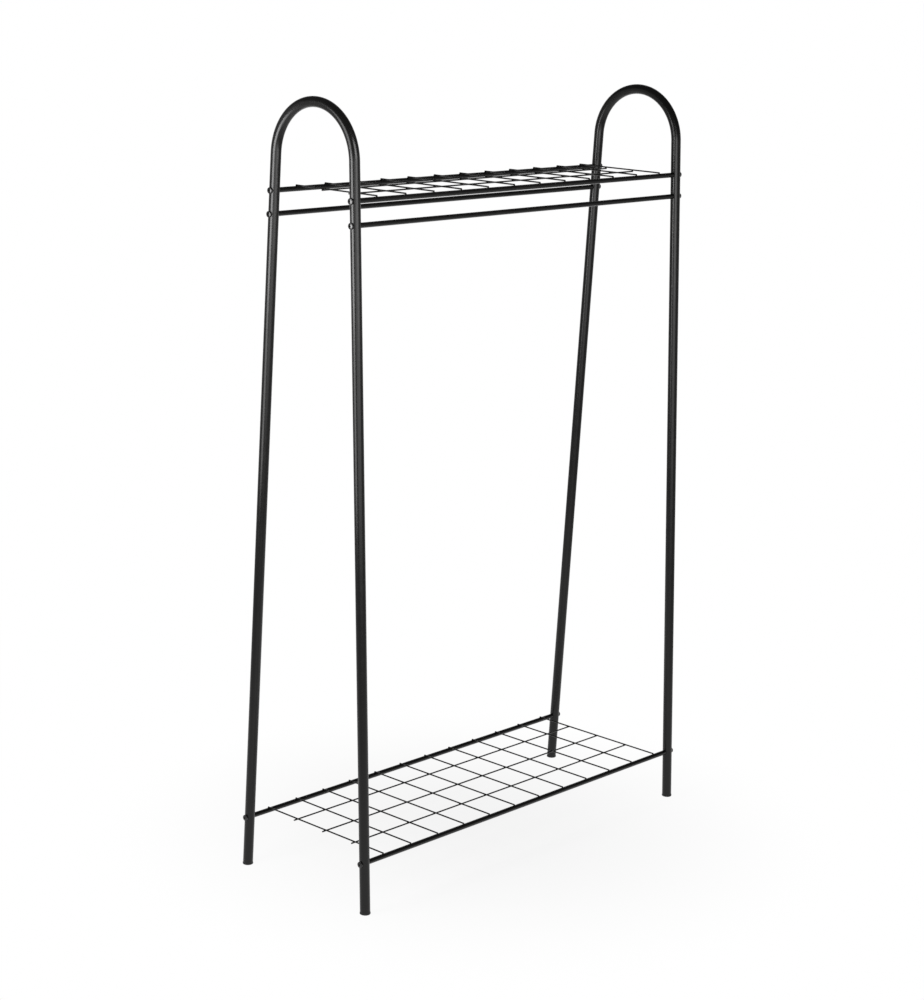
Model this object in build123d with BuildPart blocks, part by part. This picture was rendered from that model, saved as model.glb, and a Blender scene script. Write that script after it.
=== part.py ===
from build123d import *
from math import asin, atan2, cos, degrees, hypot, sin, sqrt, tan
import os

# Free-standing metal garment rack with two wire shelves and two hanging rails, in millimetres.
# X runs along the rack's width, Y from front to back and Z up from the floor. The origin is on the
# floor, midway between the four feet.

# Overall form
OVERALL_HEIGHT = 1530.0  # floor to the top of the arches
FRAME_SPACING = 925.0  # between the centre planes of the two end frames
FOOT_SPREAD = 336.0  # front to back between the leg centre lines, at the floor
ARCH_RADIUS = 104.0  # centre line of the bend at the top of an end frame

# End frame tube
LEG_DIAMETER = 20.0
LEG_WALL = 1.0

# Rails, all of one round tube
RAIL_DIAMETER = 10.0
RAIL_WALL = 0.8
UPPER_RAIL_DROP = 179.0  # from the top of the arches to the middle of the upper shelf's rails
HANGING_RAIL_DROP = 44.0  # from the upper shelf's rails to the hanging rails below them
LOWER_RAIL_HEIGHT = 101.5  # from the floor to the middle of the lower shelf's rails
RAIL_SEAT_GAP = 0.05  # between the shaped end of a rail and the tube that it seats on

# Welded wire mesh
WIRE_DIAMETER = 3.0
CROSS_WIRE_COUNT = 12
CROSS_WIRE_OVERHANG = 1.0  # past the centre line of a rail
UPPER_MESH_INSET = 54.5  # from the centre plane of an end frame to the nearest cross wire
LOWER_MESH_INSET = 50.0
UPPER_LONG_WIRE_COUNT = 2
LOWER_LONG_WIRE_COUNT = 3
UPPER_LONG_WIRE_OVERHANG = 2.0  # past the outermost cross wire
LOWER_LONG_WIRE_OVERHANG = 6.0
WIRE_END_CHAMFER = 0.4
WIRE_SEAT_GAP = 0.02  # between a wire and what it is welded on

# Dome-head screws
SCREW_DIAMETER = 6.0
SCREW_HEAD_DIAMETER = 12.0
SCREW_HEAD_HEIGHT = 4.4
SCREW_HEAD_RIM = 3.2  # height of its upright edge, below the low dome
SCREW_HEAD_ROUNDING = 1.0  # where the dome meets that edge
SCREW_HOLE_CLEARANCE = 0.25  # on the radius, in both walls of the leg
SCREW_TIP_CHAMFER = 0.8
SOCKET_WIDTH = 4.0  # hexagon socket in the head, across its flats
SOCKET_DEPTH = 2.5

# Threaded plugs fixed in the ends of the rails
PLUG_LENGTH = 16.0
PLUG_SET_BACK = 1.0  # from the leg to the face of the plug
PLUG_CLEARANCE = 0.05  # on the radius, in the bore of the rail
THREAD_CLEARANCE = 0.05  # on the radius, between screw and plug
THREAD_LENGTH = 10.0  # of the screw inside the plug

# Foot caps, pressed into the leg ends
FOOT_LIP = 0.5  # that the flange stands out past the leg
FOOT_FLANGE_HEIGHT = 3.5
FOOT_EDGE_RADIUS = 1.2
FOOT_STEM_LENGTH = 18.0
FOOT_STEM_WALL = 1.5
FOOT_RIB_COUNT = 4
FOOT_RIB_HEIGHT = 1.5
FOOT_RIB_REACH = 0.6  # past the stem, on the radius
FOOT_STEM_CLEARANCE = 0.05  # between the ribs and the bore of the leg

# Worked out from the sizes above
frame_x = FRAME_SPACING / 2
leg_radius = LEG_DIAMETER / 2
rail_radius = RAIL_DIAMETER / 2
wire_radius = WIRE_DIAMETER / 2
half_spread = FOOT_SPREAD / 2
arch_height = OVERALL_HEIGHT - leg_radius - ARCH_RADIUS
splay = atan2(half_spread, arch_height) - asin(ARCH_RADIUS / hypot(half_spread, arch_height))
tangent_y = ARCH_RADIUS * cos(splay)
tangent_z = arch_height + ARCH_RADIUS * sin(splay)
leg_end_y = half_spread - FOOT_FLANGE_HEIGHT * sin(splay)
leg_end_z = FOOT_FLANGE_HEIGHT * cos(splay)
upper_rail_height = OVERALL_HEIGHT - UPPER_RAIL_DROP

sides = {"left": -1, "right": 1}
depths = {"front": -1, "back": 1}
levels = {
    "upper_shelf": upper_rail_height,
    "hanging": upper_rail_height - HANGING_RAIL_DROP,
    "lower_shelf": LOWER_RAIL_HEIGHT,
}
meshes = {
    "upper_shelf": (UPPER_MESH_INSET, UPPER_LONG_WIRE_COUNT, UPPER_LONG_WIRE_OVERHANG),
    "lower_shelf": (LOWER_MESH_INSET, LOWER_LONG_WIRE_COUNT, LOWER_LONG_WIRE_OVERHANG),
}


def half_depth(height):
    """Distance of an end frame's centre line from the middle of the rack, at a height on leg or arch."""
    if height < tangent_z:
        return half_spread - height * tan(splay)
    return sqrt(ARCH_RADIUS**2 - (height - arch_height) ** 2)


def leg_direction(depth):
    """Direction up along a front (-1) or back (1) leg."""
    return Vector(0, -depth * sin(splay), cos(splay))


def front_leg_end(side):
    """Plane across the lower end of a front leg's tube, facing up along it."""
    return Plane(origin=(side * frame_x, -leg_end_y, leg_end_z), z_dir=leg_direction(-1))


def draw_centre_line():
    """Centre line of an end frame's tube, up the front leg, over the arch and down the back leg."""
    Line((-leg_end_y, leg_end_z), (-tangent_y, tangent_z))
    ThreePointArc((-tangent_y, tangent_z), (0, arch_height + ARCH_RADIUS), (tangent_y, tangent_z))
    Line((tangent_y, tangent_z), (leg_end_y, leg_end_z))


def save(piece, name):
    piece.part.label = name
    export_step(piece.part, f"parts/{name}.step")


def make_end_frame(side):
    """One tube bent into a splayed U, drilled across both legs at every rail."""
    x = side * frame_x
    with BuildPart() as frame:
        with BuildLine(Plane.YZ.offset(x)) as centre_line:
            draw_centre_line()
        with BuildSketch(front_leg_end(side)):
            Circle(leg_radius)
            Circle(leg_radius - LEG_WALL, mode=Mode.SUBTRACT)
        sweep(path=centre_line.wire())
        screw_axes = [
            (depth * half_depth(height), height) for depth in depths.values() for height in levels.values()
        ]
        with BuildSketch(Plane.YZ.offset(x)):
            with Locations(*screw_axes):
                Circle(SCREW_DIAMETER / 2 + SCREW_HOLE_CLEARANCE)
        extrude(amount=LEG_DIAMETER, both=True, mode=Mode.SUBTRACT)
    return frame


def make_foot_cap(side, depth):
    """Plastic cap with a hollow ribbed stem in the leg and a flange trimmed level with the floor."""
    foot = Plane(
        origin=(side * frame_x, depth * half_spread, 0), x_dir=(1, 0, 0), z_dir=leg_direction(depth)
    )
    rib_radius = leg_radius - LEG_WALL - FOOT_STEM_CLEARANCE
    stem_radius = rib_radius - FOOT_RIB_REACH
    rib_pitch = (FOOT_STEM_LENGTH - FOOT_RIB_HEIGHT) / FOOT_RIB_COUNT
    with BuildPart() as cap:
        with BuildSketch(foot):
            Circle(leg_radius + FOOT_LIP)
        extrude(amount=FOOT_FLANGE_HEIGHT, both=True)
        with BuildSketch(foot.offset(FOOT_FLANGE_HEIGHT)):
            Circle(stem_radius)
        extrude(amount=FOOT_STEM_LENGTH)
        for rib in range(1, FOOT_RIB_COUNT + 1):
            with BuildSketch(foot.offset(FOOT_FLANGE_HEIGHT + rib * rib_pitch)):
                Circle(rib_radius)
            extrude(amount=FOOT_RIB_HEIGHT)
        with BuildSketch(foot.offset(FOOT_FLANGE_HEIGHT)):
            Circle(stem_radius - FOOT_STEM_WALL)
        extrude(amount=FOOT_STEM_LENGTH, mode=Mode.SUBTRACT)
        split(bisect_by=Plane.XY, keep=Keep.TOP)
        sole = cap.faces().sort_by(Axis.Z)[0]
        fillet(sole.edges(), radius=FOOT_EDGE_RADIUS)
    return cap


def make_rail(depth, height):
    """Round tube between the end frames, its ends shaped to the tubes that they seat on."""
    y = depth * half_depth(height)
    with BuildPart() as rail:
        with BuildSketch(Plane(origin=(-frame_x, y, height), z_dir=(1, 0, 0))):
            Circle(rail_radius)
            Circle(rail_radius - RAIL_WALL, mode=Mode.SUBTRACT)
        extrude(amount=FRAME_SPACING)
        for side in sides.values():
            with BuildLine(Plane.YZ.offset(side * frame_x)) as centre_line:
                draw_centre_line()
            with BuildSketch(front_leg_end(side)):
                Circle(leg_radius + RAIL_SEAT_GAP)
            sweep(path=centre_line.wire(), mode=Mode.SUBTRACT)
    return rail


def rail_ends(height):
    """Planes at one height where a rail's axis meets a leg's centre line, facing out of the rack."""
    return [
        Plane(
            origin=(side * frame_x, depth * half_depth(height), height),
            x_dir=(0, 1, 0),
            z_dir=(side, 0, 0),
        )
        for side in sides.values()
        for depth in depths.values()
    ]


def make_threaded_plugs(height):
    """The threaded plugs in the four rail ends at one height."""
    with BuildPart() as plugs:
        for end in rail_ends(height):
            with BuildSketch(end.offset(-leg_radius - PLUG_SET_BACK)):
                Circle(rail_radius - RAIL_WALL - PLUG_CLEARANCE)
                Circle(SCREW_DIAMETER / 2 + THREAD_CLEARANCE, mode=Mode.SUBTRACT)
            extrude(amount=-PLUG_LENGTH)
    return plugs


def make_screws(height):
    """The four dome-head screws at one height, each through a leg into the plug behind it."""
    head_radius = SCREW_HEAD_DIAMETER / 2
    shank_radius = SCREW_DIAMETER / 2
    shank_length = LEG_DIAMETER + PLUG_SET_BACK + THREAD_LENGTH
    dome_rise = SCREW_HEAD_HEIGHT - SCREW_HEAD_RIM
    dome_radius = (head_radius**2 + dome_rise**2) / (2 * dome_rise)
    half_angle = asin(head_radius / dome_radius) / 2
    dome_middle = (
        dome_radius * sin(half_angle),
        SCREW_HEAD_HEIGHT - dome_radius * (1 - cos(half_angle)),
    )
    with BuildPart() as screws:
        for end in rail_ends(height):
            seat = end.offset(leg_radius)
            half_section = Plane(origin=seat.origin, x_dir=seat.x_dir, z_dir=seat.x_dir.cross(seat.z_dir))
            with BuildSketch(half_section) as profile:
                with BuildLine():
                    Polyline(
                        (0, SCREW_HEAD_HEIGHT),
                        (0, -shank_length),
                        (shank_radius - SCREW_TIP_CHAMFER, -shank_length),
                        (shank_radius, SCREW_TIP_CHAMFER - shank_length),
                        (shank_radius, 0),
                        (head_radius, 0),
                        (head_radius, SCREW_HEAD_RIM),
                    )
                    ThreePointArc((head_radius, SCREW_HEAD_RIM), dome_middle, (0, SCREW_HEAD_HEIGHT))
                make_face()
                head_edge = profile.vertices().group_by(Axis.X)[-1].sort_by(Axis.Y)[-1]
                fillet(head_edge, radius=SCREW_HEAD_ROUNDING)
            revolve(axis=Axis(seat.origin, seat.z_dir))
            with BuildSketch(seat.offset(SCREW_HEAD_HEIGHT)):
                RegularPolygon(SOCKET_WIDTH / 2, side_count=6, major_radius=False)
            extrude(amount=-SOCKET_DEPTH, mode=Mode.SUBTRACT)
    return screws


def make_cross_wire(height, x):
    """A front-to-back wire lying on the two rails of a shelf."""
    length = 2 * (half_depth(height) + CROSS_WIRE_OVERHANG)
    wire_height = height + rail_radius + WIRE_SEAT_GAP + wire_radius
    with BuildPart() as wire:
        with BuildSketch(Plane(origin=(x, -length / 2, wire_height), z_dir=(0, 1, 0))):
            Circle(wire_radius)
        extrude(amount=length)
        chamfer(wire.edges().filter_by(GeomType.CIRCLE), length=WIRE_END_CHAMFER)
    return wire


def make_long_wire(height, y, length):
    """A wire along the shelf, under the cross wires that it is welded to."""
    wire_height = height + rail_radius - wire_radius
    with BuildPart() as wire:
        with BuildSketch(Plane(origin=(-length / 2, y, wire_height), z_dir=(1, 0, 0))):
            Circle(wire_radius)
        extrude(amount=length)
        chamfer(wire.edges().filter_by(GeomType.CIRCLE), length=WIRE_END_CHAMFER)
    return wire


os.makedirs("parts", exist_ok=True)
print("splay of the legs:", round(degrees(splay), 3), "degrees")

for side_name, side in sides.items():
    save(make_end_frame(side), f"{side_name}_end_frame")
    for depth_name, depth in depths.items():
        save(make_foot_cap(side, depth), f"{depth_name}_{side_name}_foot_cap")

for level_name, height in levels.items():
    for depth_name, depth in depths.items():
        save(make_rail(depth, height), f"{depth_name}_{level_name}_rail")
    save(make_threaded_plugs(height), f"{level_name}_rail_plugs")
    save(make_screws(height), f"{level_name}_rail_screws")

for shelf, (inset, long_wire_count, overhang) in meshes.items():
    height = levels[shelf]
    mesh_reach = frame_x - inset
    for number in range(1, CROSS_WIRE_COUNT + 1):
        x = mesh_reach * (2 * (number - 1) / (CROSS_WIRE_COUNT - 1) - 1)
        save(make_cross_wire(height, x), f"{shelf}_cross_wire_{number:02d}")
    for number in range(1, long_wire_count + 1):
        y = half_depth(height) * (2 * number / (long_wire_count + 1) - 1)
        save(make_long_wire(height, y, 2 * (mesh_reach + overhang)), f"{shelf}_long_wire_{number}")
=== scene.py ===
from math import asin, atan2, cos, hypot, pi, radians, sin, sqrt, tan

import bmesh
import bpy
from mathutils import Matrix, Vector


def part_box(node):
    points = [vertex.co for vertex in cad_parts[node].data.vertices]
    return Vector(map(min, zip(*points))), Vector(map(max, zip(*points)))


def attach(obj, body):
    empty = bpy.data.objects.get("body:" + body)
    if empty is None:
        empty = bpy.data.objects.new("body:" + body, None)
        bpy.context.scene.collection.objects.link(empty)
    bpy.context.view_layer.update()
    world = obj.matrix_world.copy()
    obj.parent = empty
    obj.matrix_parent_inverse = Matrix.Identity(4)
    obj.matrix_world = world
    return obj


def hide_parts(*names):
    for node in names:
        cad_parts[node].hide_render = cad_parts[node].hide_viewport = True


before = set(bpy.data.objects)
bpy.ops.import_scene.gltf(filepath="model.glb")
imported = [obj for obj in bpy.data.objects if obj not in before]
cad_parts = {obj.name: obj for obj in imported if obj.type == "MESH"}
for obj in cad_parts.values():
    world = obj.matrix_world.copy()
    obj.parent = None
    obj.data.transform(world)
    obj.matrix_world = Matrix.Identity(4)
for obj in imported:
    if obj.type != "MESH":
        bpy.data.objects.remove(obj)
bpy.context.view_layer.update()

# Sizes shared with the solids
FOOT_SPREAD = 0.336
ARCH_RADIUS = 0.104
LEG_WALL = 0.001
RAIL_WALL = 0.0008
RAIL_SEAT_GAP = 0.00005
FOOT_FLANGE_HEIGHT = 0.0035
FOOT_LIP = 0.0005
FOOT_EDGE_RADIUS = 0.0012
FOOT_STEM_LENGTH = 0.018
FOOT_STEM_WALL = 0.0015
FOOT_STEM_CLEARANCE = 0.00005
FOOT_RIB_COUNT = 4
FOOT_RIB_HEIGHT = 0.0015
FOOT_RIB_REACH = 0.0006
SCREW_RADIUS = 0.003
SCREW_HEAD_RADIUS = 0.006
SCREW_HEAD_HEIGHT = 0.0044
SCREW_HEAD_RIM = 0.0032
SCREW_HEAD_ROUNDING = 0.001
SCREW_THREAD_LENGTH = 0.010
PLUG_SET_BACK = 0.001
SOCKET_SIDES = 6
SOCKET_WIDTH = 0.004
SOCKET_DEPTH = 0.0025

# Sizes of the finer forms
LEG_SIDES = 48
RAIL_SIDES = 40
WIRE_SIDES = 20
FOOT_SIDES = 54
HEAD_SIDES = 48
SHANK_SIDES = 24
BEAD_SIDES = 12
ARCH_STEPS = 72
LEG_STEPS = 18
ROUNDING_STEPS = 4
DOME_STEPS = 10
BEAD_STEPS = 8
RUN_STEP = 0.075  # usual stretch of a straight rail or wire between two rings
WIRE_END_ROUNDING = 0.0010
FLANGE_TOP_ROUNDING = 0.0004
HEAD_SEAT_CHAMFER = 0.0002
HEAD_SINK = 0.00001  # of a screw head into the coat of the leg
SHANK_OVERLAP = 0.0005  # of a shank into its head
SOCKET_TURN = radians(3)  # keeps the socket's corners off the edges of the dome's faces
SCREW_TURN = radians(37)  # from one screw's socket to the next one's
THREADED_LENGTH = 0.016
THREAD_PITCH = 0.001
THREAD_DEPTH = 0.0006
THREAD_RINGS = 6  # in one turn of the thread
THREAD_TIP_SHARE = 0.2  # of the full thread form, at the tip of the screw
THREAD_TURN_SHARE = 0.5  # of the full thread form, gained with each turn from the tip
RAIL_WELD = (0.0019, 0.0020, 0.0008)  # half sizes along the rail, along the wire and upwards
MESH_WELD = (0.0019, 0.0019, 0.0008)
SHARP_ANGLE = radians(38)

ORIGIN = Vector((0, 0, 0))
X_AXIS = Vector((1, 0, 0))
Y_AXIS = Vector((0, 1, 0))
Z_AXIS = Vector((0, 0, 1))

sides = {"left": -1, "right": 1}
depths = {"front": -1, "back": 1}
levels = ("upper_shelf", "hanging", "lower_shelf")

frame_low, frame_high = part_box("left_end_frame")
frame_x = -(frame_low.x + frame_high.x) / 2
leg_radius = (frame_high.x - frame_low.x) / 2
half_spread = FOOT_SPREAD / 2
arch_height = frame_high.z - leg_radius - ARCH_RADIUS
splay = atan2(half_spread, arch_height) - asin(ARCH_RADIUS / hypot(half_spread, arch_height))
tangent_z = arch_height + ARCH_RADIUS * sin(splay)
leg_end_y = half_spread - FOOT_FLANGE_HEIGHT * sin(splay)
leg_end_z = FOOT_FLANGE_HEIGHT * cos(splay)


def middle(node):
    """Middle of a node's box."""
    low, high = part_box(node)
    return (low + high) / 2


def steps(start, end, count):
    """Evenly spaced values from start to end, both included."""
    return [start + (end - start) * i / count for i in range(count + 1)]


def ring(centre, across, up, radius, count):
    """Points round a circle."""
    turns = steps(0, 2 * pi, count)[:-1]
    return [centre + across * (radius * cos(turn)) + up * (radius * sin(turn)) for turn in turns]


def skin(rings, looped=False):
    """Vertices and faces through equal rings, closed at both ends or looped from the last to the first."""
    count = len(rings[0])
    spans = len(rings) if looped else len(rings) - 1
    faces = []
    for span in range(spans):
        near = span * count
        far = (span + 1) % len(rings) * count
        for side in range(count):
            beside = (side + 1) % count
            faces.append((near + side, near + beside, far + beside, far + side))
    if not looped:
        last = (len(rings) - 1) * count
        faces.append(tuple(reversed(range(count))))
        faces.append(tuple(range(last, last + count)))
    return [point for points in rings for point in points], faces


def make_mesh(name, shells):
    """One mesh of closed shells, smooth except at its sharp edges."""
    mesh = bpy.data.meshes.new(name)
    bm = bmesh.new()
    for points, faces in shells:
        corners = [bm.verts.new(point) for point in points]
        for face in faces:
            bm.faces.new([corners[i] for i in face])
    bmesh.ops.recalc_face_normals(bm, faces=bm.faces[:])
    bm.to_mesh(mesh)
    bm.free()
    mesh.polygons.foreach_set("use_smooth", [True] * len(mesh.polygons))
    mesh.set_sharp_from_angle(angle=SHARP_ANGLE)
    return mesh


def add_object(name, data):
    """A new object in the scene."""
    thing = bpy.data.objects.new(name, data)
    bpy.context.scene.collection.objects.link(thing)
    return thing


def add_piece(mesh, material, slot, *nodes):
    """A piece of the rack that stands for these solids."""
    mesh.materials.append(material)
    piece = add_object(mesh.name, mesh)
    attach(piece, "root")
    if nodes:
        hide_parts(*nodes)


# Finishes, with scales in features a metre and heights in metres
PATTERN_RANGE = (0.3, 0.7)  # most of what a noise pattern gives
DRIFT_SCALE = 23.0
DRIFT_DETAIL = 4.0
GLOSS_SCALE = 61.0
GLOSS_DETAIL = 3.0
SKIN_DETAIL = 2.0
CLOUD_SCALE = 160.0
CLOUD_DETAIL = 4.0
LATHE_SCALE = 700.0
LATHE_WANDER = 1.2
LATHE_HEIGHT = 0.00001
ZINC_TONES = ((0.48, 0.48, 0.47), (0.66, 0.66, 0.64))
ZINC_ROUGHNESS = (0.28, 0.42)


def start_material(name):
    """A new material with its node tree, shader and object coordinates."""
    material = bpy.data.materials.new(name)
    material.use_nodes = True
    tree = material.node_tree
    tree.nodes.clear()
    output = tree.nodes.new("ShaderNodeOutputMaterial")
    shader = tree.nodes.new("ShaderNodeBsdfPrincipled")
    place = tree.nodes.new("ShaderNodeTexCoord")
    tree.links.new(shader.outputs["BSDF"], output.inputs["Surface"])
    return material, tree, shader, place


def noise(tree, place, scale, detail):
    """A noise pattern fixed to the object."""
    pattern = tree.nodes.new("ShaderNodeTexNoise")
    pattern.inputs["Scale"].default_value = scale
    pattern.inputs["Detail"].default_value = detail
    tree.links.new(place.outputs["Object"], pattern.inputs["Vector"])
    return pattern.outputs["Fac"]


def map_range(tree, value, from_range, to_range, passage="LINEAR"):
    """Carries a value from one range to another, in a straight or a smooth passage."""
    mapped = tree.nodes.new("ShaderNodeMapRange")
    mapped.interpolation_type = passage
    mapped.inputs["From Min"].default_value = from_range[0]
    mapped.inputs["From Max"].default_value = from_range[1]
    mapped.inputs["To Min"].default_value = to_range[0]
    mapped.inputs["To Max"].default_value = to_range[1]
    tree.links.new(value, mapped.inputs["Value"])
    return mapped.outputs["Result"]


def two_tones(tree, pattern, tones):
    """A colour that wanders between two tones with a pattern."""
    ramp = tree.nodes.new("ShaderNodeValToRGB")
    for element, position, tone in zip(ramp.color_ramp.elements, PATTERN_RANGE, tones):
        element.position = position
        element.color = (*tone, 1)
    tree.links.new(pattern, ramp.inputs["Fac"])
    return ramp.outputs["Color"]


def bump(tree, pattern, height, below=None):
    """Surface relief of a pattern, on top of another relief."""
    relief = tree.nodes.new("ShaderNodeBump")
    relief.inputs["Strength"].default_value = 1.0
    relief.inputs["Distance"].default_value = height
    tree.links.new(pattern, relief.inputs["Height"])
    if below:
        tree.links.new(below, relief.inputs["Normal"])
    return relief.outputs["Normal"]


def coated(name, tones, roughness, peel_scale, peel_height, grain_scale, grain_height, specular):
    """Black finish with soft tonal drift, uneven gloss, an orange-peel skin and a fine grain."""
    material, tree, shader, place = start_material(name)
    drift = noise(tree, place, DRIFT_SCALE, DRIFT_DETAIL)
    gloss = noise(tree, place, GLOSS_SCALE, GLOSS_DETAIL)
    peel = noise(tree, place, peel_scale, SKIN_DETAIL)
    grain = noise(tree, place, grain_scale, SKIN_DETAIL)
    tree.links.new(two_tones(tree, drift, tones), shader.inputs["Base Color"])
    tree.links.new(map_range(tree, gloss, PATTERN_RANGE, roughness), shader.inputs["Roughness"])
    peel_relief = bump(tree, peel, peel_height)
    tree.links.new(bump(tree, grain, grain_height, peel_relief), shader.inputs["Normal"])
    shader.inputs["Specular IOR Level"].default_value = specular
    return material


def plated(name):
    """Zinc-plated steel with lathe rings."""
    material, tree, shader, place = start_material(name)
    clouds = noise(tree, place, CLOUD_SCALE, CLOUD_DETAIL)
    rings = tree.nodes.new("ShaderNodeTexWave")
    rings.bands_direction = "X"
    rings.inputs["Scale"].default_value = LATHE_SCALE
    rings.inputs["Distortion"].default_value = LATHE_WANDER
    tree.links.new(place.outputs["Object"], rings.inputs["Vector"])
    tree.links.new(two_tones(tree, clouds, ZINC_TONES), shader.inputs["Base Color"])
    tree.links.new(map_range(tree, clouds, PATTERN_RANGE, ZINC_ROUGHNESS), shader.inputs["Roughness"])
    tree.links.new(bump(tree, rings.outputs["Fac"], LATHE_HEIGHT), shader.inputs["Normal"])
    shader.inputs["Metallic"].default_value = 1.0
    return material


powder_coat = coated(
    "black_powder_coat",
    tones=((0.0030, 0.0029, 0.0028), (0.0048, 0.0046, 0.0044)),
    roughness=(0.21, 0.27),
    peel_scale=800.0,
    peel_height=0.000030,
    grain_scale=2600.0,
    grain_height=0.000003,
    specular=0.32,
)
screw_black = coated(
    "black_gloss_screw",
    tones=((0.0040, 0.0039, 0.0038), (0.0062, 0.0060, 0.0058)),
    roughness=(0.16, 0.22),
    peel_scale=900.0,
    peel_height=0.000004,
    grain_scale=3200.0,
    grain_height=0.000001,
    specular=0.6,
)
foot_plastic = coated(
    "black_moulded_plastic",
    tones=((0.0075, 0.0075, 0.0077), (0.0110, 0.0110, 0.0113)),
    roughness=(0.46, 0.56),
    peel_scale=1500.0,
    peel_height=0.000012,
    grain_scale=4200.0,
    grain_height=0.000006,
    specular=0.45,
)
zinc = plated("zinc_plated_steel")


def centre_line():
    """Points and sideways directions along an end frame's tube, over the arch from front to back."""
    foot = Vector((0, -leg_end_y, leg_end_z))
    bend = Vector((0, -ARCH_RADIUS * cos(splay), tangent_z))
    outward = Vector((0, -cos(splay), sin(splay)))
    line = [(foot.lerp(bend, share), outward) for share in steps(0, 1, LEG_STEPS)[:-1]]
    for turn in steps(pi - splay, splay, ARCH_STEPS):
        radial = Vector((0, cos(turn), sin(turn)))
        line.append((Z_AXIS * arch_height + radial * ARCH_RADIUS, radial))
    back = [
        (Vector((0, -point.y, point.z)), Vector((0, -outward.y, outward.z)))
        for point, outward in line[:LEG_STEPS]
    ]
    return line + back[::-1]


def make_end_frame(name, side):
    """Hollow bent tube of one end frame."""
    offset = Vector((side * frame_x, 0, 0))
    line = centre_line()
    outer, inner = [
        [ring(point + offset, X_AXIS, outward, radius, LEG_SIDES) for point, outward in line]
        for radius in (leg_radius, leg_radius - LEG_WALL)
    ]
    return make_mesh(name, [skin(outer + inner[::-1], looped=True)])


def rail_end(axis, depth, side, radius):
    """Ring at a rail's end, shaped to the leg that it seats on."""
    points = []
    for point in ring(ORIGIN, Y_AXIS, Z_AXIS, radius, RAIL_SIDES):
        aside = point.y * cos(splay) + point.z * depth * sin(splay)
        reach = frame_x - sqrt((leg_radius + RAIL_SEAT_GAP) ** 2 - aside**2)
        points.append(Vector((side * reach, axis.y + point.y, axis.z + point.z)))
    return points


def make_rail(name, node, depth):
    """Hollow rail with shaped ends."""
    low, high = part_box(node)
    axis = (low + high) / 2
    rail_radius = (high.z - low.z) / 2
    plain = frame_x - leg_radius - 2 * rail_radius
    places = steps(-plain, plain, round(2 * plain / RUN_STEP))
    shells = []
    for radius in (rail_radius, rail_radius - RAIL_WALL):
        run = [ring(Vector((x, axis.y, axis.z)), Y_AXIS, Z_AXIS, radius, RAIL_SIDES) for x in places]
        shells.append([rail_end(axis, depth, -1, radius), *run, rail_end(axis, depth, 1, radius)])
    outer, inner = shells
    return make_mesh(name, [skin(outer + inner[::-1], looped=True)])


def make_wire(name, node):
    """Straight wire with rounded cut ends."""
    low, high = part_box(node)
    size = high - low
    direction, across = (X_AXIS, Y_AXIS) if size.x > size.y else (Y_AXIS, X_AXIS)
    length = size.dot(direction)
    wire_radius = size.z / 2
    centre = (low + high) / 2
    end = []
    for turn in steps(0, pi / 2, ROUNDING_STEPS):
        place = length / 2 - WIRE_END_ROUNDING * (1 - cos(turn))
        end.append((place, wire_radius - WIRE_END_ROUNDING * (1 - sin(turn))))
    plain = length / 2 - WIRE_END_ROUNDING
    count = max(2, round(length / RUN_STEP))
    run = [(place, wire_radius) for place in steps(-plain, plain, count)[1:-1]]
    profile = [(-place, radius) for place, radius in end] + run + end[::-1]
    rings = [
        ring(centre + direction * place, across, Z_AXIS, radius, WIRE_SIDES)
        for place, radius in profile
    ]
    return make_mesh(name, [skin(rings)])


def bead(centre, half_sizes):
    """Small weld bead, a flattened ball."""
    rings = []
    for turn in steps(-pi / 2, pi / 2, BEAD_STEPS)[1:-1]:
        level = centre + Z_AXIS * (half_sizes[2] * sin(turn))
        rings.append(ring(level, X_AXIS * half_sizes[0], Y_AXIS * half_sizes[1], cos(turn), BEAD_SIDES))
    return skin(rings)


def make_welds(name, crossings, half_sizes):
    """Weld beads at all crossings of one kind."""
    return make_mesh(name, [bead(point, half_sizes) for point in crossings])


def make_foot_cap(name, side, depth):
    """Moulded cap whose sole is level with the floor, with its hollow ribbed stem."""
    foot = Vector((side * frame_x, depth * half_spread, 0))
    along = Vector((0, -depth * sin(splay), cos(splay)))
    up = along.cross(X_AXIS)
    flange = leg_radius + FOOT_LIP
    rib = leg_radius - LEG_WALL - FOOT_STEM_CLEARANCE
    stem = rib - FOOT_RIB_REACH
    rings = []
    for turn in steps(0, pi / 2, 2 * ROUNDING_STEPS):
        radius = flange - FOOT_EDGE_RADIUS * (1 - sin(turn))
        height = FOOT_EDGE_RADIUS * (1 - cos(turn))
        slanted = ring(foot, X_AXIS, up, radius, FOOT_SIDES)
        rings.append([point + along * ((height - point.z) / along.z) for point in slanted])

    def add(distance, radius):
        rings.append(ring(foot + along * distance, X_AXIS, up, radius, FOOT_SIDES))

    top = FOOT_FLANGE_HEIGHT
    for turn in steps(0, pi / 2, ROUNDING_STEPS):
        add(top - FLANGE_TOP_ROUNDING * (1 - sin(turn)), flange - FLANGE_TOP_ROUNDING * (1 - cos(turn)))
    add(top, stem)
    pitch = (FOOT_STEM_LENGTH - FOOT_RIB_HEIGHT) / FOOT_RIB_COUNT
    for number in range(1, FOOT_RIB_COUNT + 1):
        start = top + number * pitch
        add(start, stem)
        add(start, rib)
        add(start + FOOT_RIB_HEIGHT, rib)
        if number < FOOT_RIB_COUNT:
            add(start + FOOT_RIB_HEIGHT, stem)
    add(top + FOOT_STEM_LENGTH, stem - FOOT_STEM_WALL)
    add(top, stem - FOOT_STEM_WALL)
    return make_mesh(name, [skin(rings)])


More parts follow.
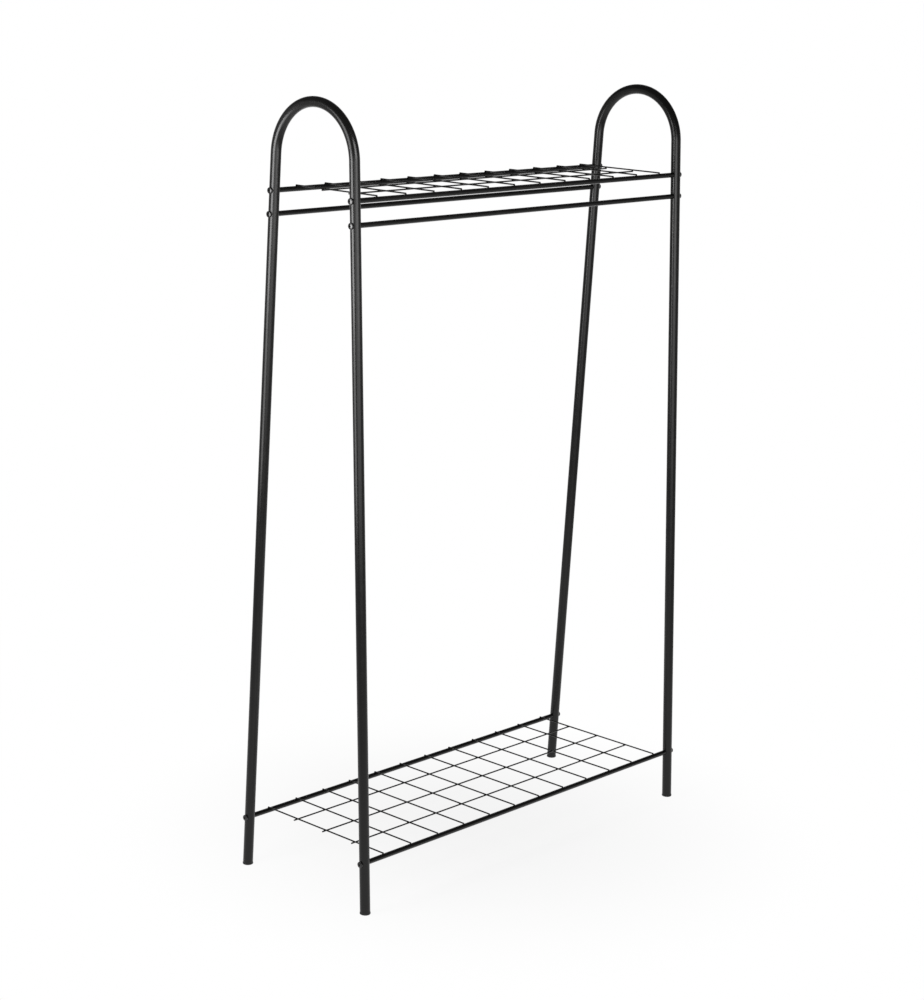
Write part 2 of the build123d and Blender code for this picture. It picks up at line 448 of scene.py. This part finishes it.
def cut_away(body, tool):
    """Points and faces of one mesh with another cut out of it, both used up."""
    body_object = add_object(body.name, body)
    tool_object = add_object(tool.name, tool)
    cut = body_object.modifiers.new(tool.name, "BOOLEAN")
    cut.operation = "DIFFERENCE"
    cut.solver = "EXACT"
    cut.object = tool_object
    bpy.context.view_layer.update()
    evaluated = body_object.evaluated_get(bpy.context.evaluated_depsgraph_get())
    finished = bpy.data.meshes.new_from_object(evaluated)
    for thing in (body_object, tool_object):
        bpy.data.objects.remove(thing)
    points = [vertex.co.copy() for vertex in finished.vertices]
    faces = [tuple(polygon.vertices) for polygon in finished.polygons]
    for mesh in (body, tool, finished):
        bpy.data.meshes.remove(mesh)
    return points, faces


def screw_head():
    """Low dome head with its rounded edge and hexagon socket, the seat at height zero."""
    rise = SCREW_HEAD_HEIGHT - SCREW_HEAD_RIM
    dome = (SCREW_HEAD_RADIUS**2 + rise**2) / (2 * rise)
    dome_z = SCREW_HEAD_HEIGHT - dome
    edge_radius = SCREW_HEAD_RADIUS - SCREW_HEAD_ROUNDING
    opening = asin(edge_radius / (dome - SCREW_HEAD_ROUNDING))
    edge_z = dome_z + (dome - SCREW_HEAD_ROUNDING) * cos(opening)
    profile = [
        (SCREW_RADIUS, 0),
        (SCREW_HEAD_RADIUS - HEAD_SEAT_CHAMFER, 0),
        (SCREW_HEAD_RADIUS, HEAD_SEAT_CHAMFER),
    ]
    for turn in steps(0, pi / 2 - opening, 2 * ROUNDING_STEPS):
        radius = edge_radius + SCREW_HEAD_ROUNDING * cos(turn)
        profile.append((radius, edge_z + SCREW_HEAD_ROUNDING * sin(turn)))
    for turn in steps(opening, 0, DOME_STEPS)[1:-1]:
        profile.append((dome * sin(turn), dome_z + dome * cos(turn)))
    rings = [ring(Z_AXIS * z, X_AXIS, Y_AXIS, radius, HEAD_SIDES) for radius, z in profile]

    corner = SOCKET_WIDTH / 2 / cos(pi / SOCKET_SIDES)
    turned = Matrix.Rotation(SOCKET_TURN, 3, Z_AXIS)
    across = turned @ X_AXIS
    up = turned @ Y_AXIS
    heights = (SCREW_HEAD_HEIGHT - SOCKET_DEPTH, SCREW_HEAD_HEIGHT + SOCKET_DEPTH)
    outlines = [ring(Z_AXIS * z, across, up, corner, SOCKET_SIDES) for z in heights]
    return cut_away(make_mesh("screw_head", [skin(rings)]), make_mesh("socket", [skin(outlines)]))


def screw_shank():
    """Threaded shank below the head."""
    length = 2 * leg_radius + PLUG_SET_BACK + SCREW_THREAD_LENGTH
    start = THREADED_LENGTH - length
    rings = [ring(Z_AXIS * z, X_AXIS, Y_AXIS, SCREW_RADIUS, SHANK_SIDES) for z in (SHANK_OVERLAP, start)]
    count = round(THREADED_LENGTH / THREAD_PITCH * THREAD_RINGS)
    for z in steps(start, -length, count)[1:]:
        form = min(1, (z + length) / THREAD_PITCH * THREAD_TURN_SHARE + THREAD_TIP_SHARE)
        level = []
        for turn in steps(0, 2 * pi, SHANK_SIDES)[:-1]:
            phase = (z / THREAD_PITCH - turn / (2 * pi)) % 1
            depth = THREAD_DEPTH * abs(2 * phase - 1)
            radius = (SCREW_RADIUS - depth) * form + (SCREW_RADIUS - THREAD_DEPTH) * (1 - form)
            level.append(Vector((radius * cos(turn), radius * sin(turn), z)))
        rings.append(level)
    return skin(rings)


def make_screws(name, level, shapes, first):
    """The screws at one height, numbered on from the first one."""
    shells = []
    number = first
    for side in sides.values():
        for depth_name in depths:
            axis = middle(f"{depth_name}_{level}_rail")
            seat = Vector((side * (frame_x + leg_radius - HEAD_SINK), axis.y, axis.z))
            facing = Z_AXIS.rotation_difference(Vector((side, 0, 0))).to_matrix().to_4x4()
            turned = Matrix.Rotation(number * SCREW_TURN, 4, "Z")
            place = Matrix.Translation(seat) @ facing @ turned
            shells += [([place @ point for point in points], faces) for points, faces in shapes]
            number += 1
    return make_mesh(name, shells)


# End frames and foot caps
for side_name, side in sides.items():
    node = f"{side_name}_end_frame"
    add_piece(make_end_frame(f"{node}_tube", side), powder_coat, "black_coat", node)
    for depth_name, depth in depths.items():
        node = f"{depth_name}_{side_name}_foot_cap"
        add_piece(make_foot_cap(f"{node}_moulding", side, depth), foot_plastic, "foot_plastic", node)

# Rails, their screws and plugs
screw_shapes = [screw_head(), screw_shank()]
screws_per_level = len(sides) * len(depths)
for order, level in enumerate(levels):
    for depth_name, depth in depths.items():
        node = f"{depth_name}_{level}_rail"
        add_piece(make_rail(f"{node}_tube", node, depth), powder_coat, "black_coat", node)
    node = f"{level}_rail_screws"
    screws = make_screws(f"{node}_set", level, screw_shapes, screws_per_level * order)
    add_piece(screws, screw_black, "black_screw", node)
    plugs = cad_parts[f"{level}_rail_plugs"]
    plugs.data.materials.clear()
    plugs.data.materials.append(zinc)

# Wire mesh and its welds
for shelf in ("upper_shelf", "lower_shelf"):
    cross_wires = sorted(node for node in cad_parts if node.startswith(f"{shelf}_cross_wire"))
    long_wires = sorted(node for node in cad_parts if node.startswith(f"{shelf}_long_wire"))
    for node in cross_wires + long_wires:
        add_piece(make_wire(f"{node}_rod", node), powder_coat, "black_coat", node)
    rails = [middle(f"{depth_name}_{shelf}_rail") for depth_name in depths]
    seat_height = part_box(cross_wires[0])[0].z
    columns = [middle(node).x for node in cross_wires]
    on_rails = [Vector((x, rail.y, seat_height)) for x in columns for rail in rails]
    on_wires = [Vector((x, middle(node).y, seat_height)) for x in columns for node in long_wires]
    add_piece(make_welds(f"{shelf}_rail_welds", on_rails, RAIL_WELD), powder_coat, "black_coat")
    add_piece(make_welds(f"{shelf}_mesh_welds", on_wires, MESH_WELD), powder_coat, "black_coat")

# Camera at the photograph's angle
PHOTO_LONG_SIDE = 1000  # pixels
FOCAL_LENGTH = 2289.75  # pixels
SENSOR_WIDTH = 36.0  # millimetres
AZIMUTH = radians(-47.0912)
ELEVATION = radians(13.5802)
ROLL = radians(1.6685)
DISTANCE = 4.64297
AIM_HEIGHT = 0.714
AIM_RIGHT = -0.030014
AIM_UP = -0.005946
# Direction from the rack to the camera
look_back = Vector((sin(AZIMUTH) * cos(ELEVATION), -cos(AZIMUTH) * cos(ELEVATION), sin(ELEVATION)))


def make_camera():
    """Camera that looks at a point near the middle of the rack, from where look_back points to."""
    data = bpy.data.cameras.new("camera")
    data.sensor_width = SENSOR_WIDTH
    data.lens = FOCAL_LENGTH / PHOTO_LONG_SIDE * SENSOR_WIDTH
    right = Z_AXIS.cross(look_back).normalized()
    up = look_back.cross(right)
    aim = Z_AXIS * AIM_HEIGHT + right * AIM_RIGHT + up * AIM_UP
    rolled_right = right * cos(ROLL) + up * sin(ROLL)
    rolled_up = up * cos(ROLL) - right * sin(ROLL)
    axes = Matrix((rolled_right, rolled_up, look_back)).transposed().to_4x4()
    camera = add_object("camera", data)
    camera.matrix_world = Matrix.Translation(aim + look_back * DISTANCE) @ axes
    bpy.context.scene.camera = camera


make_camera()

# White floor, seen as bright as the backdrop but for the soft shadow of the rack
FLOOR_RADIUS = 2.4
FLOOR_SIDES = 96
FLOOR_TONE = (0.90, 0.90, 0.90)
FLOOR_FADE_START = 0.8  # from the middle of the rack, where the floor begins to melt into the backdrop
FLOOR_WHITENESS = 0.84  # share of plain white in what is seen of the floor


def combine(tree, operation, first, second):
    """Sum, difference, product or larger one of two values."""
    node = tree.nodes.new("ShaderNodeMath")
    node.operation = operation
    for value, socket in zip((first, second), node.inputs):
        if isinstance(value, float):
            socket.default_value = value
        else:
            tree.links.new(value, socket)
    return node.outputs["Value"]


def mix_shaders(tree, share, first, second):
    """The second shader over the first one, by its share."""
    node = tree.nodes.new("ShaderNodeMixShader")
    for value, socket in zip((share, first, second), node.inputs):
        tree.links.new(value, socket)
    return node.outputs["Shader"]


def floor_material():
    """Pale floor that seems white to the eye and in gloss, and is clear at its rim."""
    material = bpy.data.materials.new("white_floor")
    material.use_nodes = True
    tree = material.node_tree
    tree.nodes.clear()
    output = tree.nodes.new("ShaderNodeOutputMaterial")
    lit = tree.nodes.new("ShaderNodeBsdfDiffuse")
    lit.inputs["Color"].default_value = (*FLOOR_TONE, 1)
    white = tree.nodes.new("ShaderNodeEmission")
    clear = tree.nodes.new("ShaderNodeBsdfTransparent")
    rays = tree.nodes.new("ShaderNodeLightPath")
    place = tree.nodes.new("ShaderNodeTexCoord")
    away = tree.nodes.new("ShaderNodeVectorMath")
    away.operation = "LENGTH"
    tree.links.new(place.outputs["Object"], away.inputs[0])
    distance = away.outputs["Value"]
    seen = rays.outputs["Is Camera Ray"]
    for kind in ("Is Glossy Ray", "Is Transmission Ray"):
        seen = combine(tree, "MAXIMUM", seen, rays.outputs[kind])
    whiteness = map_range(tree, distance, (0.0, FLOOR_FADE_START), (FLOOR_WHITENESS, 1.0), "SMOOTHSTEP")
    share = combine(tree, "MULTIPLY", seen, whiteness)
    sheet = mix_shaders(tree, share, lit.outputs["BSDF"], white.outputs["Emission"])
    rim = map_range(tree, distance, (FLOOR_FADE_START, FLOOR_RADIUS), (0.0, 1.0), "SMOOTHSTEP")
    melted = mix_shaders(tree, rim, sheet, clear.outputs["BSDF"])
    tree.links.new(melted, output.inputs["Surface"])
    return material


def make_floor():
    """Round floor under the rack."""
    points = ring(ORIGIN, X_AXIS, Y_AXIS, FLOOR_RADIUS, FLOOR_SIDES)
    mesh = bpy.data.meshes.new("floor")
    mesh.from_pydata(points, [], [tuple(range(FLOOR_SIDES))])
    mesh.materials.append(floor_material())
    floor = add_object("floor", mesh)


make_floor()

# Studio: a white backdrop behind the rack, dim walls all round and softboxes to the left and in front
WALL_LEVEL = 0.42
CEILING_LEVEL = 0.10
WALL_BAND = (-0.05, 0.35)  # sines of the elevations between which the walls darken into the ceiling
BACKDROP_END = radians(50)  # from the middle of the backdrop to where it ends
BACKDROP_WHITE = radians(19)  # from the middle of the backdrop to where it is no longer plain white
LEFT_LAMPS_X = -1.11
NEAR_LAMPS_Y = -1.14


def make_world():
    """Light of the walls, the ceiling and the backdrop."""
    world = bpy.data.worlds.new("studio")
    bpy.context.scene.world = world
    world.use_nodes = True
    tree = world.node_tree
    tree.nodes.clear()
    output = tree.nodes.new("ShaderNodeOutputWorld")
    sky = tree.nodes.new("ShaderNodeBackground")
    sky.inputs["Color"].default_value = (1, 1, 1, 1)
    place = tree.nodes.new("ShaderNodeTexCoord")
    split = tree.nodes.new("ShaderNodeSeparateXYZ")
    towards = tree.nodes.new("ShaderNodeVectorMath")
    towards.operation = "DOT_PRODUCT"
    towards.inputs[1].default_value = -look_back
    tree.links.new(place.outputs["Generated"], split.inputs["Vector"])
    tree.links.new(place.outputs["Generated"], towards.inputs[0])
    walls = map_range(tree, split.outputs["Z"], WALL_BAND, (WALL_LEVEL, CEILING_LEVEL), "SMOOTHSTEP")
    fade = (cos(BACKDROP_END), cos(BACKDROP_WHITE))
    backdrop = map_range(tree, towards.outputs["Value"], fade, (0.0, 1.0), "SMOOTHSTEP")
    lift = combine(tree, "MULTIPLY", combine(tree, "SUBTRACT", 1.0, walls), backdrop)
    tree.links.new(combine(tree, "ADD", walls, lift), sky.inputs["Strength"])
    tree.links.new(sky.outputs["Background"], output.inputs["Surface"])


def add_softbox(name, centre, target, size, radiance, fan=pi):
    """Rectangular lamp facing its target, with the radiance that a mirror shows and a fan of light."""
    width, height = size
    grid = 1 - fan / 2 / tan(fan / 2)  # keeps the radiance in the middle of a narrow fan
    lamp = bpy.data.lights.new(name, "AREA")
    lamp.shape = "RECTANGLE"
    lamp.size = width
    lamp.size_y = height
    lamp.spread = fan
    lamp.energy = radiance * pi * width * height * grid
    softbox = add_object(name, lamp)
    softbox.location = centre
    softbox.rotation_mode = "QUATERNION"
    softbox.rotation_quaternion = (Vector(target) - Vector(centre)).to_track_quat("-Z", "Y")
    softbox.visible_camera = False


make_world()
add_softbox(
    "left_softbox",
    centre=(LEFT_LAMPS_X, 0.10, 1.24),
    target=(-frame_x, 0.0, 1.24),
    size=(0.46, 0.40),
    radiance=11.5,
)
add_softbox(
    "high_left_softbox",
    centre=(LEFT_LAMPS_X, 0.14, 1.60),
    target=(-frame_x, 0.0, 1.60),
    size=(0.50, 0.24),
    radiance=6.0,
)
add_softbox(
    "low_left_softbox",
    centre=(LEFT_LAMPS_X, 0.10, 0.83),
    target=(-frame_x, 0.0, 0.83),
    size=(0.46, 0.42),
    radiance=4.8,
)
add_softbox(
    "front_softbox",
    centre=(-1.25, -2.165, 0.90),
    target=(0.0, 0.0, 0.90),
    size=(3.4, 1.2),
    radiance=2.0,
)
add_softbox(
    "near_front_softbox",
    centre=(-0.50, NEAR_LAMPS_Y, 1.30),
    target=(-0.50, 0.0, 1.30),
    size=(1.0, 0.58),
    radiance=2.2,
)
add_softbox(
    "high_front_softbox",
    centre=(-0.60, NEAR_LAMPS_Y, 1.80),
    target=(-frame_x, -0.10, 1.45),
    size=(0.7, 0.6),
    radiance=11.0,
    fan=radians(70),
)

bpy.context.scene.view_settings.view_transform = "Standard"

bpy.context.view_layer.update()
